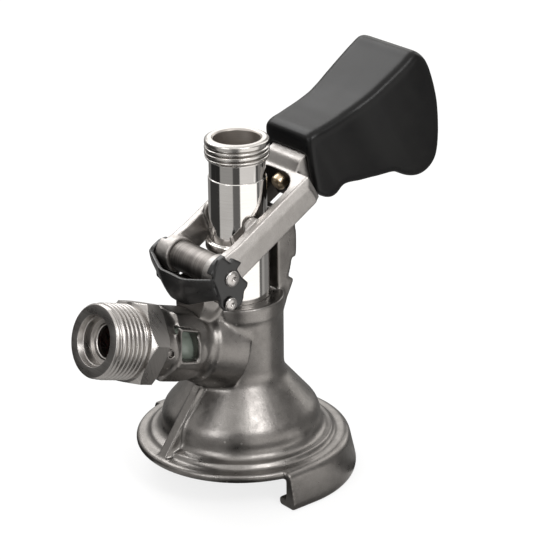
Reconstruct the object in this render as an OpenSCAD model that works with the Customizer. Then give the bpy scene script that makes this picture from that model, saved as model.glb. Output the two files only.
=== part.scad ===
// Keg coupler with a lever handle, for a keg neck that slides in from one side.
// The probe's axis is the Z axis, the base stands on z = 0, the gas inlet points to -X
// and the handle to +X. All sizes are in millimetres.

/* [Outlet tube] */
// Height of the tube's top rim above the base
rim_z = 126; // [122:1:132]
// Outside radius of the outlet thread, a G 5/8 thread
outlet_thread_r = 11.45; // [11:0.05:11.9]
// Number of thread turns on the outlet
outlet_turns = 3; // [2:1:4]
// Outside radius of the plain tube
tube_r = 10.3; // [10:0.1:10.4]
// Radius of the socket in the top of the tube
outlet_bore_r = 8.3; // [7.6:0.1:8.6]
// Depth of the socket in the top of the tube
outlet_bore_depth = 11; // [9:0.5:12]
// Radius of the beer way through the probe
beer_way_r = 4.2; // [3.6:0.1:4.6]
// Radius of the outlet check ball
ball_r = 5; // [4.8:0.1:5.2]
// Lift of the check ball off its seat
ball_lift = 3; // [2.5:0.1:3.5]

/* [Probe sleeve] */
// Radius of the polished sleeve that slides in the neck
sleeve_r = 11; // [10.8:0.1:11.1]
// Radius of the collar above the sleeve
collar_r = 11.6; // [11.4:0.1:11.7]
// Height of the collar's lower edge above the base
collar_z = 85.4; // [85:0.1:85.8]
// Height of the collar itself
collar_h = 3.2; // [3:0.1:3.3]
// Height of the sleeve's lower end above the base
sleeve_end_z = 22.5; // [21:0.5:24]
// Radius of the probe's seal
probe_seal_r = 12.6; // [12:0.1:13]

/* [Body] */
// Outside radius of the neck
neck_r = 15.7; // [15:0.1:16.4]
// Height of the neck's rim above the base
neck_z = 67.3; // [66:0.1:67.6]
// Radius of the bell at its widest
bell_r = 28.8; // [27:0.2:30]
// Radius of the flange round the bell
flange_r = 38.2; // [37:0.2:39]
// Height of the flange's underside above the base
flange_z = 10.8; // [10:0.1:11.6]
// Thickness of the flange
flange_t = 3; // [2.6:0.1:3.6]
// Radius of the skirt's foot
skirt_r = 41.8; // [41:0.1:43]
// Wall of the skirt at its foot
skirt_wall = 4.6; // [4:0.1:5]
// Width of the lip inside the skirt's foot
lip_w = 3.6; // [3:0.1:4]
// Height of the lip
lip_h = 3.1; // [2.6:0.1:3.6]
// Distance from the axis to the skirt's open ends
skirt_end_x = 10; // [8:0.5:13]
// Thickness of the gusset under the inlet
gusset_t = 4.4; // [3.6:0.2:5.4]
// Radius of the chamber above the keg gasket
chamber_r = 17; // [16.4:0.1:17.6]

/* [Gas inlet] */
// Height at which the inlet's axis meets the probe's axis
inlet_z = 46.7; // [46:0.1:47.4]
// Upward tilt of the inlet in degrees
inlet_tilt = 17.9; // [16:0.1:19]
// Distance along the inlet to the front of its hexagon
hex_front = 52.3; // [51:0.1:54]
// Length of the hexagon
hex_len = 7.3; // [6:0.1:8.5]
// Width of the hexagon across its flats
hex_af = 27.6; // [27:0.1:29]
// Outside radius of the inlet thread, a G 3/4 thread
inlet_thread_r = 13.22; // [13:0.02:13.4]
// Length of the inlet thread
inlet_thread_len = 14.2; // [12:0.1:16]
// Radius of the socket in the inlet's mouth
inlet_bore_r = 9; // [8.6:0.1:9.4]
// Depth of the socket in the inlet's mouth
inlet_bore_depth = 8; // [6:0.5:9]
// Radius of the gas way behind the socket
gas_way_r = 5.6; // [5:0.1:6]
// Width of the boss across its flats
boss_af = 25; // [24.4:0.1:26]
// Radius of the check valve's liner
liner_r = 9.4; // [9.2:0.1:9.6]

/* [Latch column] */
// Half of the column's width
column_w = 7; // [6:0.1:8]
// Height of the column's top above the base
column_z = 97.5; // [96:0.1:98]
// Radius of the column's crest about the upper pin
crest_r = 39; // [38.8:0.1:39.1]
// Depth of the latch notch
notch_depth = 1.7; // [1.5:0.1:1.8]
// Radius of the shoulder under the notch about the upper pin
shoulder_r = 40.1; // [39.8:0.1:40.3]

/* [Lever] */
// Upper pin, forward of the probe's axis
pin_x = 17.9; // [17.7:0.1:18.1]
// Upper pin, height above the base
pin_z = 83.5; // [83.3:0.1:83.7]
// Rise of the lever's arms at rest, in degrees
lever_tilt = 30; // [29.6:0.1:30.4]
// Radius of the upper pin
pin_r = 2.6; // [2.2:0.1:3]
// Radius of the roller between the arms
roller_r = 5.5; // [5:0.1:5.6]
// Radius of the arms' eyes round the upper pin
eye_r = 6.5; // [6:0.1:6.6]
// Half of the depth of an arm
arm_h = 5.1; // [4.8:0.1:5.4]
// Distance from the middle plane to an arm's inner face
arm_in = 12; // [11.9:0.1:12.2]
// Distance from the middle plane to an arm's outer face
arm_out = 16.6; // [16.2:0.1:16.8]
// Distance from the upper pin to the lever's rear shoulder
shoulder_a = 44; // [43.5:0.1:45]
// Distance from the upper pin to the driving boss
drive_a = 20; // [19.8:0.1:20.2]
// Radius of the driving boss
drive_r = 4.6; // [4.4:0.05:4.6]
// Half of the tongue's width
tongue_w = 9; // [8.6:0.1:9.4]
// Distance from the upper pin to the tongue's end
tongue_end = 69; // [67:0.5:70]

/* [Link] */
// Lower pin, forward of the probe's axis
low_pin_x = 19; // [18.9:0.1:19.2]
// Lower pin, height above the base
low_pin_z = 74.6; // [74.4:0.1:74.7]
// Radius of the lower pin
low_pin_r = 1.75; // [1.6:0.05:1.8]
// Thickness of the link's ears
ear_t = 1.8; // [1.6:0.1:2.2]
// Distance from the lower pin to the front of the strap
strap_reach = 8.8; // [8.4:0.1:9.4]
// Height of the strap
strap_h = 8.2; // [7:0.1:9]
// Half of the width of the body's lug
lug_w = 8; // [7:0.1:9]

/* [Grip and latch bolt] */
// Height of the grip's front above the lever's axis
grip_top = 14.4; // [14:0.1:15]
// Distance from the upper pin to the grip's far end
grip_end = 110.1; // [108:0.1:111]
// Half of the grip's width at its front
grip_front_w = 12.8; // [12.2:0.1:13.2]
// Half of the grip's width at its far end
grip_end_w = 16; // [15.4:0.1:16.4]
// Radius of the latch bolt's nose
bolt_r = 2.9; // [2.6:0.1:3]
// Distance from the upper pin to the bolt's tip
bolt_tip = 40.5; // [40.4:0.1:40.7]
// Radius of the bolt's stem
stem_r = 2; // [1.8:0.1:2.2]
// Wire radius of the latch spring
spring_wire_r = 0.45; // [0.4:0.05:0.5]
// Turns of the latch spring
spring_turns = 7; // [5:1:8]
// Drop of the bolt into the notch
bolt_drop = 1.2; // [1:0.1:1.3]

/* [Fits] */
// Running clearance of pins and slides
run = 0.06; // [0.04:0.01:0.1]
// Clearance between parts that pass each other
pass = 0.3; // [0.3:0.05:0.4]

/* [Hidden] */
$fn = 96;

// Thread pitch of G 5/8 and G 3/4, and the depth of its groove
pitch = 1.814;
groove = 1.16;

// Upper and lower pin in the XZ plane
upper = [-pin_x, pin_z];
lower = [-low_pin_x, low_pin_z];

bore_r = sleeve_r + run;
flange_top = flange_z + flange_t;
collar_top = collar_z + collar_h;
o_ring_r = 0.85;
neck_ring_r = bore_r + 2 * o_ring_r + 0.05;
neck_ring_heights = [neck_z - 8.3, neck_z - 3.8];
relief_r = bore_r + 1.9;
relief_top = neck_z - 12.3;
gasket_r = 23;
gasket_top = flange_z + 2.4;

// Tube plugs the sleeve from above, tip plugs it from below
spigot_r = sleeve_r - 2.4;
spigot_len = 12;
tip_len = 8;
retainer_t = 1.4;
retainer_z = rim_z - outlet_bore_depth - retainer_t;
ball_z = retainer_z - 0.1 - ball_lift - ball_r;
seat_z = ball_z - sqrt(ball_r * ball_r - beer_way_r * beer_way_r) - 0.02;

boss_end = hex_front - hex_len;
liner_front = boss_end - 5.1;
liner_back = 21;
liner_ring = liner_back + 3.4;
liner_wall = 2.6;
inlet_tip = hex_front + inlet_thread_len;

tongue_top = arm_h + 2.4;
tongue_bottom = -arm_h + 0.3;
web_back = shoulder_a + 2;
spring_bore_r = bolt_r + 1.7;
chamber_front = shoulder_a + 5;
chamber_back = tongue_end - 4;
bolt_collar = chamber_front + bolt_drop + 0.4;
bolt_collar_t = 1.4;
insert_from = tongue_end + bolt_drop + pass + 0.5;
insert_len = 6;

// Outline points [x, y, corner radius] given from c
function about(c, p) = [for (q = p) [c[0] + q[0], c[1] + q[1], q[2]]];

// Corner of an outline at q, rounded to radius r between its neighbours p and s
function unit(v) = v / norm(v);
function bend(p, q, s, r, n) =
    let (u = unit(p - q), v = unit(s - q), half = acos(u * v) / 2)
    let (c = q + unit(u + v) * r / sin(half))
    let (from = q + u * r / tan(half) - c, to = q + v * r / tan(half) - c)
    let (a = atan2(from[1], from[0]))
    let (sweep = (atan2(to[1], to[0]) - a + 540) % 360 - 180)
    [for (i = [0:n]) c + r * [cos(a + sweep * i / n), sin(a + sweep * i / n)]];

// Closed outline whose points are [x, y, corner radius]
function rounded(p, n = 5) = [
    for (i = [0:len(p) - 1])
        let (a = p[(i + len(p) - 1) % len(p)], b = p[i], c = p[(i + 1) % len(p)])
        each (b[2] > 0
            ? bend([a[0], a[1]], [b[0], b[1]], [c[0], c[1]], b[2], n)
            : [[b[0], b[1]]])
];

// Circular arc of points about c
function arc(c, r, a0, a1, n) =
    [for (i = [0:n]) c + r * [cos(a0 + (a1 - a0) * i / n), sin(a0 + (a1 - a0) * i / n)]];

// Stack of thread crests with flat tops, as the outer side of a revolved profile
function crests(r, z0, turns) = [
    for (i = [0:turns - 1])
        each [
            [r - groove, z0 + i * pitch],
            [r, z0 + (i + 0.3) * pitch],
            [r, z0 + (i + 0.62) * pitch],
            [r - groove, z0 + (i + 0.92) * pitch]
        ]
];

// Frame of the gas inlet: local Z runs out along the inlet, local X points up
module inlet_frame() {
    translate([0, 0, inlet_z]) rotate([0, inlet_tilt - 90, 0]) children();
}

// Frame of the lever: origin on the upper pin, local X runs along the arms
module lever_frame() {
    translate([-pin_x, 0, pin_z]) rotate([0, -lever_tilt, 0]) children();
}

// Outline in the local XZ plane, thickened along Y from y0 to y1
module side_plate(outline, y0, y1) {
    translate([0, y1, 0]) rotate([90, 0, 0]) linear_extrude(y1 - y0) polygon(outline);
}

// Cylinder along Y at c = [x, z], from y0 to y1
module cross_rod(c, r, y0, y1) {
    translate([c[0], y1, c[1]]) rotate([90, 0, 0]) cylinder(r = r, h = y1 - y0);
}

// Cylinder along the local X axis from x0 to x1
module long_rod(r, x0, x1) {
    translate([x0, 0, 0]) rotate([0, 90, 0]) cylinder(r = r, h = x1 - x0);
}

module both_sides() {
    children();
    mirror([0, 1, 0]) children();
}

// Body

bell_profile = rounded([
    [0, flange_z, 0],
    [flange_r, flange_z, 0.7],
    [flange_r, flange_top, 1.4],
    [flange_r - 4.4, flange_top, 0.8],
    [flange_r - 5.2, flange_top + 1.8, 0.7],
    [bell_r + 1.6, flange_top + 2.2, 1],
    [bell_r, flange_top + 4.4, 1.6],
    [bell_r, 23.4, 9],
    [neck_r, 38.8, 7],
    [neck_r, neck_z - 6, 0.3],
    [neck_r + 0.4, neck_z - 5.5, 0.3],
    [neck_r + 0.4, neck_z, 0.8],
    [0, neck_z, 0]
]);

skirt_profile = rounded([
    [flange_r - 4, flange_top - 0.2, 0],
    [skirt_r - 2.6, flange_top - 0.2, 2.6],
    [skirt_r, 1.8, 2],
    [skirt_r - 0.4, 0, 0.3],
    [skirt_r - skirt_wall - lip_w, 0, 0.6],
    [skirt_r - skirt_wall - lip_w, lip_h, 0.6],
    [skirt_r - skirt_wall, lip_h, 0.6],
    [skirt_r - skirt_wall, flange_z, 0.8],
    [flange_r - 4, flange_z, 0]
]);

// Rear of the column: crest, notch and shoulder, all about the upper pin
column_angle = asin((column_z - 2.3 - pin_z) / crest_r);
column_profile = concat(
    [[bore_r + 1.2, neck_z - 10], [bore_r + 1.2, column_z]],
    arc(upper, crest_r, column_angle, -8.4, 10),
    arc(upper, crest_r - notch_depth, -8.9, -19.6, 4),
    arc(upper, shoulder_r, -20.4, -30, 4),
    [[neck_r - 1.5, neck_z - 11]]
);

gusset_profile = [
    [-bell_r + 4, flange_top - 1],
    [-flange_r + 1.2, flange_top - 1],
    [-flange_r + 1.2, flange_top - 0.4],
    [-neck_r - 5.6, 35],
    [-neck_r - 0.5, 40],
    [-neck_r + 1, 36]
];

lug_profile = concat(
    [lower + [6, -16.6], lower + [6, -4.6]],
    arc(lower, low_pin_r + 1.35, 20, 190, 8),
    [lower + [-3.6, -6.6], lower + [-5.5, -13.6]]
);

// Window in the boss, as [height over the inlet's axis, distance along it]
window_outline = [
    [boss_af / 2 - 3.9, boss_end - 5],
    [boss_af / 2 - 4.3, boss_end - 12.7],
    [-2.3, boss_end - 16.1],
    [-2.6, boss_end - 8.6]
];

module skirt() {
    rotate([0, 0, -90]) rotate_extrude(angle = 180) polygon(skirt_profile);
    both_sides()
        translate([-skirt_end_x, 0, 0]) rotate([90, 0, 90])
            linear_extrude(skirt_end_x) polygon(skirt_profile);
}

module boss() {
    inlet_frame() {
        translate([0, 0, 9]) cylinder(r1 = neck_r + 0.6, r2 = boss_af / 2 + 0.3, h = 15);
        translate([0, 0, 23]) rotate(22.5)
            cylinder(r = boss_af / 2 / cos(22.5), h = 15.2, $fn = 8);
        translate([0, 0, 37]) cylinder(r = boss_af / 2 - 0.6, h = boss_end - 37);
    }
}

module body_casting() {
    color("silver") difference() {
        union() {
            rotate_extrude() polygon(bell_profile);
            skirt();
            boss();
            side_plate(column_profile, -column_w, column_w);
            side_plate(gusset_profile, -gusset_t / 2, gusset_t / 2);
            side_plate(lug_profile, -lug_w, lug_w);
        }
        rotate_extrude() polygon([
            [0, 0],
            [gasket_r, 0],
            [gasket_r, gasket_top],
            [chamber_r, gasket_top],
            [chamber_r, 28],
            [relief_r, 36],
            [relief_r, relief_top],
            [bore_r, relief_top + 1.5],
            [bore_r, neck_z + 1],
            [0, neck_z + 1]
        ]);
        for (z = neck_ring_heights)
            translate([0, 0, z - o_ring_r - 0.15]) cylinder(r = neck_ring_r, h = 2 * o_ring_r + 0.3);
        translate([0, 0, neck_z]) cylinder(r = collar_r + 0.6, h = 60);
        inlet_frame() {
            cylinder(r = gas_way_r - 1.6, h = liner_back + 1);
            translate([0, 0, liner_back]) cylinder(r = liner_r, h = 60);
            both_sides() side_plate(window_outline, 6, boss_af);
        }
        cross_rod(lower, low_pin_r, -20, 20);
    }
}

module gas_inlet_tail() {
    turns = floor(inlet_thread_len / pitch) - 1;
    lead = inlet_tip - turns * pitch - 0.9;
    color("gainsboro") inlet_frame() difference() {
        union() {
            translate([0, 0, liner_front + 0.9]) cylinder(r = liner_r, h = hex_len);
            intersection() {
                translate([0, 0, boss_end]) rotate(30) cylinder(r = hex_af / sqrt(3), h = hex_len, $fn = 6);
                translate([0, 0, boss_end]) cylinder(r1 = hex_af / 2 + 9.6, r2 = hex_af / 2 + 1, h = hex_len);
                translate([0, 0, boss_end]) cylinder(r1 = hex_af / 2 + 1, r2 = hex_af / 2 + 9.6, h = hex_len);
            }
            rotate_extrude() polygon(concat(
                [[0, hex_front - 1], [inlet_thread_r - groove, hex_front - 1]],
                crests(inlet_thread_r, lead, turns),
                [[inlet_thread_r - groove, inlet_tip - 0.5], [inlet_thread_r - 1.6, inlet_tip], [0, inlet_tip]]
            ));
        }
        cylinder(r = gas_way_r, h = inlet_tip + 1);
        translate([0, 0, inlet_tip - inlet_bore_depth]) cylinder(r = inlet_bore_r, h = inlet_bore_depth + 1);
    }
}

module inlet_washer() {
    color("dimgray") inlet_frame() difference() {
        translate([0, 0, liner_front]) cylinder(r = liner_r, h = 0.9);
        cylinder(r = gas_way_r, h = boss_end);
    }
}

module check_valve_liner() {
    color("whitesmoke") inlet_frame() difference() {
        translate([0, 0, liner_back]) cylinder(r = liner_r, h = liner_front - liner_back);
        translate([0, 0, liner_back + 2]) cylinder(r = liner_r - liner_wall, h = boss_end);
        cylinder(r = gas_way_r - 1.6, h = boss_end);
        translate([0, 0, liner_ring]) difference() {
            cylinder(r = liner_r + 1, h = 2 * o_ring_r);
            cylinder(r = liner_r - 2 * o_ring_r, h = 2 * o_ring_r);
        }
    }
}

module liner_o_ring() {
    color("#1c1c1c") inlet_frame() translate([0, 0, liner_ring + o_ring_r])
        rotate_extrude() translate([liner_r - o_ring_r, 0]) circle(r = o_ring_r, $fn = 24);
}

// Duckbill: a flanged cup whose lips close to a slit
module check_valve() {
    cup_r = liner_r - liner_wall;
    color("#8c3a2e") inlet_frame() difference() {
        intersection() {
            union() {
                translate([0, 0, liner_front - 1.6]) cylinder(r = cup_r, h = 1.6);
                translate([0, 0, liner_back + 5]) cylinder(r = cup_r - 1.4, h = liner_front - liner_back - 6);
            }
            rotate([90, 0, 0]) linear_extrude(40, center = true) polygon([
                [-cup_r, liner_front],
                [-cup_r, liner_front - 7],
                [-0.9, liner_back + 5],
                [0.9, liner_back + 5],
                [cup_r, liner_front - 7],
                [cup_r, liner_front]
            ]);
        }
        translate([0, 0, liner_front - 7]) cylinder(r = cup_r - 2.4, h = 20);
        translate([0, 0, liner_back]) cube([0.5, 2 * cup_r - 5, 24], center = true);
    }
}

module keg_gasket() {
    color("#222222") rotate_extrude() polygon(rounded([
        [chamber_r - 1.6, flange_z - 2, 1],
        [gasket_r, flange_z - 2, 0.8],
        [gasket_r, gasket_top, 0],
        [chamber_r - 1.6, gasket_top, 0.8]
    ]));
}

module neck_o_rings() {
    color("#1c1c1c") for (z = neck_ring_heights)
        translate([0, 0, z]) rotate_extrude()
            translate([bore_r + o_ring_r, 0]) circle(r = o_ring_r, $fn = 24);
}

// Pin along Y at c with a shallow dome on each end
module domed_pin(c, r, head_r, reach) {
    cross_rod(c, r, -reach, reach);
    both_sides() translate([c[0], reach, c[1]]) rotate([-90, 0, 0]) rotate_extrude() polygon(concat(
        [[0, 0], [head_r, 0]],
        [for (i = [0:6]) [head_r * cos(15 * i), 0.4 + 0.3 * head_r * sin(15 * i)]]
    ));
}

module lower_pin() {
    color("silver") domed_pin(lower, low_pin_r, low_pin_r + 0.7, ear_out + 0.1);
}

// Probe

module probe_tube() {
    thread_base = rim_z - 1.4 - outlet_turns * pitch;
    color("lightgray") difference() {
        rotate_extrude() polygon(concat(
            [[0, collar_z - spigot_len], [spigot_r, collar_z - spigot_len], [spigot_r, collar_z]],
            [[collar_r - 0.5, collar_z], [collar_r, collar_z + 0.5]],
            [[collar_r, collar_top - 0.5], [collar_r - 0.5, collar_top], [tube_r, collar_top]],
            [[tube_r, rim_z - 14.4], [tube_r - 0.35, rim_z - 14], [tube_r - 0.35, thread_base - 1.2]],
            crests(outlet_thread_r, thread_base, outlet_turns),
            [[outlet_thread_r - groove, rim_z - 1.3], [outlet_thread_r - 0.2, rim_z - 0.9]],
            [[outlet_thread_r - 0.2, rim_z - 0.5], [outlet_thread_r - 0.8, rim_z], [0, rim_z]]
        ));
        translate([0, 0, rim_z - outlet_bore_depth]) cylinder(r = outlet_bore_r, h = 30);
        translate([0, 0, retainer_z]) cylinder(r = outlet_bore_r - 1.1, h = 10);
        translate([0, 0, seat_z + 2.5]) cylinder(r = ball_r + 1, h = 10);
        translate([0, 0, seat_z]) cylinder(r1 = beer_way_r, r2 = ball_r + 1, h = 2.51);
        cylinder(r = beer_way_r, h = seat_z + 1);
    }
}

module probe_sleeve() {
    color("lightgray") difference() {
        translate([0, 0, sleeve_end_z]) cylinder(r = sleeve_r, h = collar_z - sleeve_end_z);
        translate([0, 0, collar_z - spigot_len]) cylinder(r = spigot_r, h = 20);
        translate([0, 0, sleeve_end_z - 1]) cylinder(r = spigot_r, h = tip_len + 1);
        cylinder(r = beer_way_r, h = 120);
    }
}

module probe_tip() {
    color("gainsboro") difference() {
        union() {
            translate([0, 0, sleeve_end_z - 4.4]) cylinder(r = spigot_r, h = tip_len + 4.4);
            translate([0, 0, sleeve_end_z - 2]) cylinder(r = probe_seal_r, h = 2);
            translate([0, 0, sleeve_end_z - 6]) cylinder(r1 = spigot_r + 0.2, r2 = spigot_r + 1, h = 1.6);
        }
        cylinder(r = beer_way_r, h = 120);
    }
}

module probe_seal() {
    color("#222222") translate([0, 0, sleeve_end_z - 4.4]) rotate_extrude() polygon(rounded([
        [spigot_r, 0, 0],
        [spigot_r + 1.2, 0, 0],
        [probe_seal_r - 0.6, -0.5, 0.5],
        [probe_seal_r, 2.4, 0],
        [spigot_r, 2.4, 0]
    ]));
}

// Ring with a cross that stops the ball under the socket's floor
module ball_retainer() {
    color("silver") translate([0, 0, retainer_z]) {
        difference() {
            cylinder(r = outlet_bore_r - 1.1, h = retainer_t);
            translate([0, 0, -1]) cylinder(r = ball_r - 0.2, h = 4);
        }
        for (a = [0, 90])
            rotate(a) translate([-ball_r, -0.6, 0]) cube([2 * ball_r, 1.2, retainer_t]);
    }
}

// Ball at rest on the edge of the beer way
module outlet_ball() {
    color("white") translate([0, 0, ball_z]) sphere(r = ball_r);
}

// Link

ear_in = arm_out + pass;
ear_out = ear_in + ear_t;
strap_bottom = low_pin_z - 3.2;
strap_front = -low_pin_x - strap_reach;

ear_outline = rounded(concat(
    about(upper, [
        [-8, 1.6, 0.6],
        [-4.9, 5, 1],
        [-0.6, 5.6, 0.8],
        [4.4, 4.4, 0.4],
        [2.6, 2.2, 0.8],
        [6.8, -3.4, 0.8]
    ]),
    about(lower, [
        [6.6, 2.2, 0.8],
        [5.6, -1, 1],
        [3, -2.6, 1],
        [-2.2, -2.6, 1.4],
        [-5.4, 2, 0.8]
    ])
));

// Half of the strap in plan, and the whole strap seen from the side
strap_plan = [
    [strap_front, 0],
    [strap_front + 0.4, lug_w],
    [strap_front + 1.9, ear_out],
    [-pin_x - 5, ear_out],
    [-pin_x - 5, ear_in],
    [-pin_x - eye_r - pass, ear_in],
    [strap_front + 0.4 + ear_t, lug_w],
    [strap_front + ear_t, 0]
];
strap_side = [
    [strap_front - 1, strap_bottom],
    [strap_front + 0.4, strap_bottom + 0.8],
    [strap_front + 1.4, strap_bottom + 4.4],
    [-pin_x - 4, strap_bottom + 6],
    [-pin_x - 4, strap_bottom + strap_h + 6],
    [strap_front + 1.9, strap_bottom + strap_h + 4],
    [strap_front + 0.8, strap_bottom + strap_h + 1],
    [strap_front - 1, strap_bottom + strap_h]
];

module strap() {
    intersection() {
        linear_extrude(120) polygon(concat(
            strap_plan,
            [for (i = [6:-1:1]) [strap_plan[i][0], -strap_plan[i][1]]]
        ));
        side_plate(strap_side, -30, 30);
    }
}

module link_bracket() {
    color("#26262a") difference() {
        union() {
            both_sides() side_plate(ear_outline, ear_in, ear_out);
            strap();
        }
        cross_rod(upper, pin_r, -30, 30);
        cross_rod(lower, low_pin_r + run, -30, 30);
    }
}

module upper_pin() {
    color("silver") domed_pin(upper, pin_r, pin_r + 1.3, ear_out);
}

eye_in = arm_in - 2.15;

module roller() {
    color("#55565a") translate([-pin_x, 0, pin_z]) rotate([90, 0, 0]) difference() {
        translate([0, 0, -eye_in + 0.1]) cylinder(r = roller_r, h = 2 * eye_in - 0.2);
        translate([0, 0, -eye_in - 1]) cylinder(r = pin_r + run, h = 2 * eye_in + 2);
    }
}

// Lever

arm_outline = rounded([
    [0, arm_h + 1, 0],
    [9, arm_h, 20],
    [shoulder_a - 1.2, arm_h, 0],
    [shoulder_a, -0.4, 0],
    [shoulder_a, -arm_h, 1.2],
    [4, -arm_h, 0],
    [0, -arm_h - 1, 0]
]);

// Upper end of a driving boss, which stands proud of the arm's inner edge
drive_lobe = concat(
    [[drive_a + 3.4, 0]],
    arc([drive_a - 0.6, arm_h - 1.6], 3.6, 10, 170, 8),
    [[drive_a - 4, 0]]
);

// End of the gap between the arms, from above
gap_corner = 8;
web_front = shoulder_a - gap_corner - 1;
gap_outline = rounded([
    [web_front - 1, -arm_in, 0],
    [shoulder_a, -arm_in, gap_corner],
    [shoulder_a, arm_in, gap_corner],
    [web_front - 1, arm_in, 0]
], 8);

// Tongue that carries the grip; its top rises from the arms' level
tongue_outline = rounded([
    [shoulder_a + 1, tongue_bottom, 0],
    [tongue_end, tongue_bottom, 0],
    [tongue_end, tongue_top, 0],
    [shoulder_a + 5, tongue_top, 3],
    [shoulder_a + 1.4, arm_h - 0.02, 3],
    [shoulder_a + 1, arm_h - 0.6, 0]
]);

// Cut of the bevel along an arm's outer upper edge
module arm_bevel() {
    rotate([90, 0, 90]) linear_extrude(80) polygon([
        [arm_out - 3.1, arm_h + 3],
        [arm_out + 3, arm_h + 3],
        [arm_out + 3, arm_h - 9],
        [arm_out + 0.01, arm_h - 3.2]
    ]);
}

module lever_yoke() {
    color("#cfcac4") lever_frame() difference() {
        union() {
            both_sides() {
                side_plate(arm_outline, arm_in, arm_out);
                cross_rod([0, 0], eye_r, eye_in, arm_out);
                cross_rod([drive_a, 0], drive_r, tube_r + pass, arm_in + 0.2);
                side_plate(drive_lobe, tube_r + pass, arm_in + 0.2);
            }
            difference() {
                translate([web_front, -arm_out + 0.4, -arm_h])
                    cube([web_back - web_front, 2 * arm_out - 0.8, 2 * arm_h]);
                translate([0, 0, -20]) linear_extrude(40) polygon(gap_outline);
                both_sides() translate([shoulder_a - 1.2, arm_out, -20]) rotate(-22) cube([20, 20, 40]);
            }
            side_plate(tongue_outline, -tongue_w, tongue_w);
        }
        both_sides() arm_bevel();
        cross_rod([0, 0], pin_r + run, -30, 30);
        long_rod(bolt_r + run, web_front, chamber_front + 1);
        long_rod(spring_bore_r, chamber_front, 90);
    }
}

module spring_plug() {
    color("silver") lever_frame() difference() {
        long_rod(spring_bore_r, chamber_back, tongue_end);
        long_rod(stem_r + run, chamber_back - 1, tongue_end + 1);
    }
}

// Brass latch bolt: nose, spring collar and stem on one axis
module latch_bolt() {
    collar_end = bolt_collar + bolt_collar_t;
    color("#b08d57") lever_frame() rotate([0, 90, 0]) rotate_extrude() polygon([
        [0, bolt_tip],
        [bolt_r - 1, bolt_tip],
        [bolt_r, bolt_tip + 1],
        [bolt_r, bolt_collar],
        [spring_bore_r - 0.3, bolt_collar],
        [spring_bore_r - 0.3, collar_end],
        [stem_r, collar_end],
        [stem_r, insert_from + insert_len],
        [0, insert_from + insert_len]
    ]);
}

// Coil spring round the bolt's stem, with a ring at every twelfth of a turn
spring_from = bolt_collar + bolt_collar_t + spring_wire_r;
spring_len = chamber_back - spring_wire_r - spring_from;
coil_r = (stem_r + run + spring_bore_r) / 2;

function coil_frame(t) =
    let (a = 360 * spring_turns * t)
    [[spring_from + spring_len * t, coil_r * cos(a), coil_r * sin(a)], [0, cos(a), sin(a)]];

module latch_spring() {
    steps = spring_turns * 12;
    sides = 6;
    points = [
        for (i = [0:steps]) let (f = coil_frame(i / steps))
            for (k = [0:sides - 1])
                f[0] + spring_wire_r * (cos(360 * k / sides) * f[1] + sin(360 * k / sides) * [1, 0, 0])
    ];
    faces = concat(
        [[for (k = [0:sides - 1]) k]],
        [for (i = [0:steps - 1]) for (k = [0:sides - 1])
            [i * sides + k, (i + 1) * sides + k, (i + 1) * sides + (k + 1) % sides, i * sides + (k + 1) % sides]],
        [[for (k = [sides - 1:-1:0]) steps * sides + k]]
    );
    color("silver") lever_frame() polyhedron(points, faces);
}

// Grip

grip_front = web_back + bolt_drop + pass + 0.1;
grip_keys = [
    // distance along the lever, top, underside, half of the width
    [grip_front, grip_top - 19, -6.2, grip_front_w - 0.6],
    [grip_front + 0.9, grip_top - 16.4, -8.4, grip_front_w],
    [grip_front + 2.5, grip_top - 11.2, -11.4, grip_front_w],
    [grip_front + 4.6, grip_top - 5.6, -13.2, grip_front_w],
    [grip_front + 6.2, grip_top - 1.4, -13.6, grip_front_w],
    [grip_front + 7.6, grip_top, -13.6, grip_front_w],
    [grip_front + 10.4, grip_top - 0.1, -12.8, grip_front_w + 0.2],
    [grip_front + 13.4, grip_top - 1, -14.1, grip_front_w + 0.3],
    [grip_front + 17, grip_top - 1.9, -16.6, grip_front_w + 0.5],
    [grip_front + 21, grip_top - 2.9, -19, grip_front_w + 0.6],
    [grip_front + 25, grip_top - 3.6, -21.6, grip_front_w + 0.6],
    [grip_front + 29, grip_top - 4.3, -23.8, grip_front_w + 0.9],
    [grip_front + 31.6, grip_top - 4.5, -25.6, grip_end_w - 1.9],
    [grip_front + 34.4, grip_top - 4.7, -30, grip_end_w - 1.5],
    [grip_front + 37.8, grip_top - 4.7, -33.1, grip_end_w - 1],
    [grip_front + 41.4, grip_top - 4.6, -34.3, grip_end_w - 0.7],
    [grip_front + 45, grip_top - 4.5, -33.9, grip_end_w - 0.4],
    [grip_front + 48.4, grip_top - 4.4, -31.9, grip_end_w - 0.2],
    [grip_front + 51.6, grip_top - 4.3, -27.4, grip_end_w],
    [grip_front + 54.6, grip_top - 4.2, -22.2, grip_end_w],
    [grip_end - 4.2, grip_top - 4, -14.4, grip_end_w - 0.2],
    [grip_end - 2, grip_top - 5.5, -7.6, grip_end_w - 0.7],
    [grip_end - 0.6, grip_top - 8.6, -2, grip_end_w - 1.5],
    [grip_end, grip_top - 11.4, 0.4, grip_end_w - 3.5]
];

// Point at share t of the way from q to r, on a smooth curve that also heeds p and s
function between(p, q, r, s, t) =
    q + t / 2 * (r - p + t * (2 * p - 5 * q + 4 * r - s + t * (3 * (q - r) + s - p)));

// Stations of the grip, with one added between each pair of keys
grip_stations = concat(
    [
        for (i = [0:len(grip_keys) - 2]) for (t = [0:1])
            between(
                grip_keys[max(0, i - 1)], grip_keys[i], grip_keys[i + 1],
                grip_keys[min(len(grip_keys) - 1, i + 2)], t / 2
            )
    ],
    [grip_keys[len(grip_keys) - 1]]
);

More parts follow.
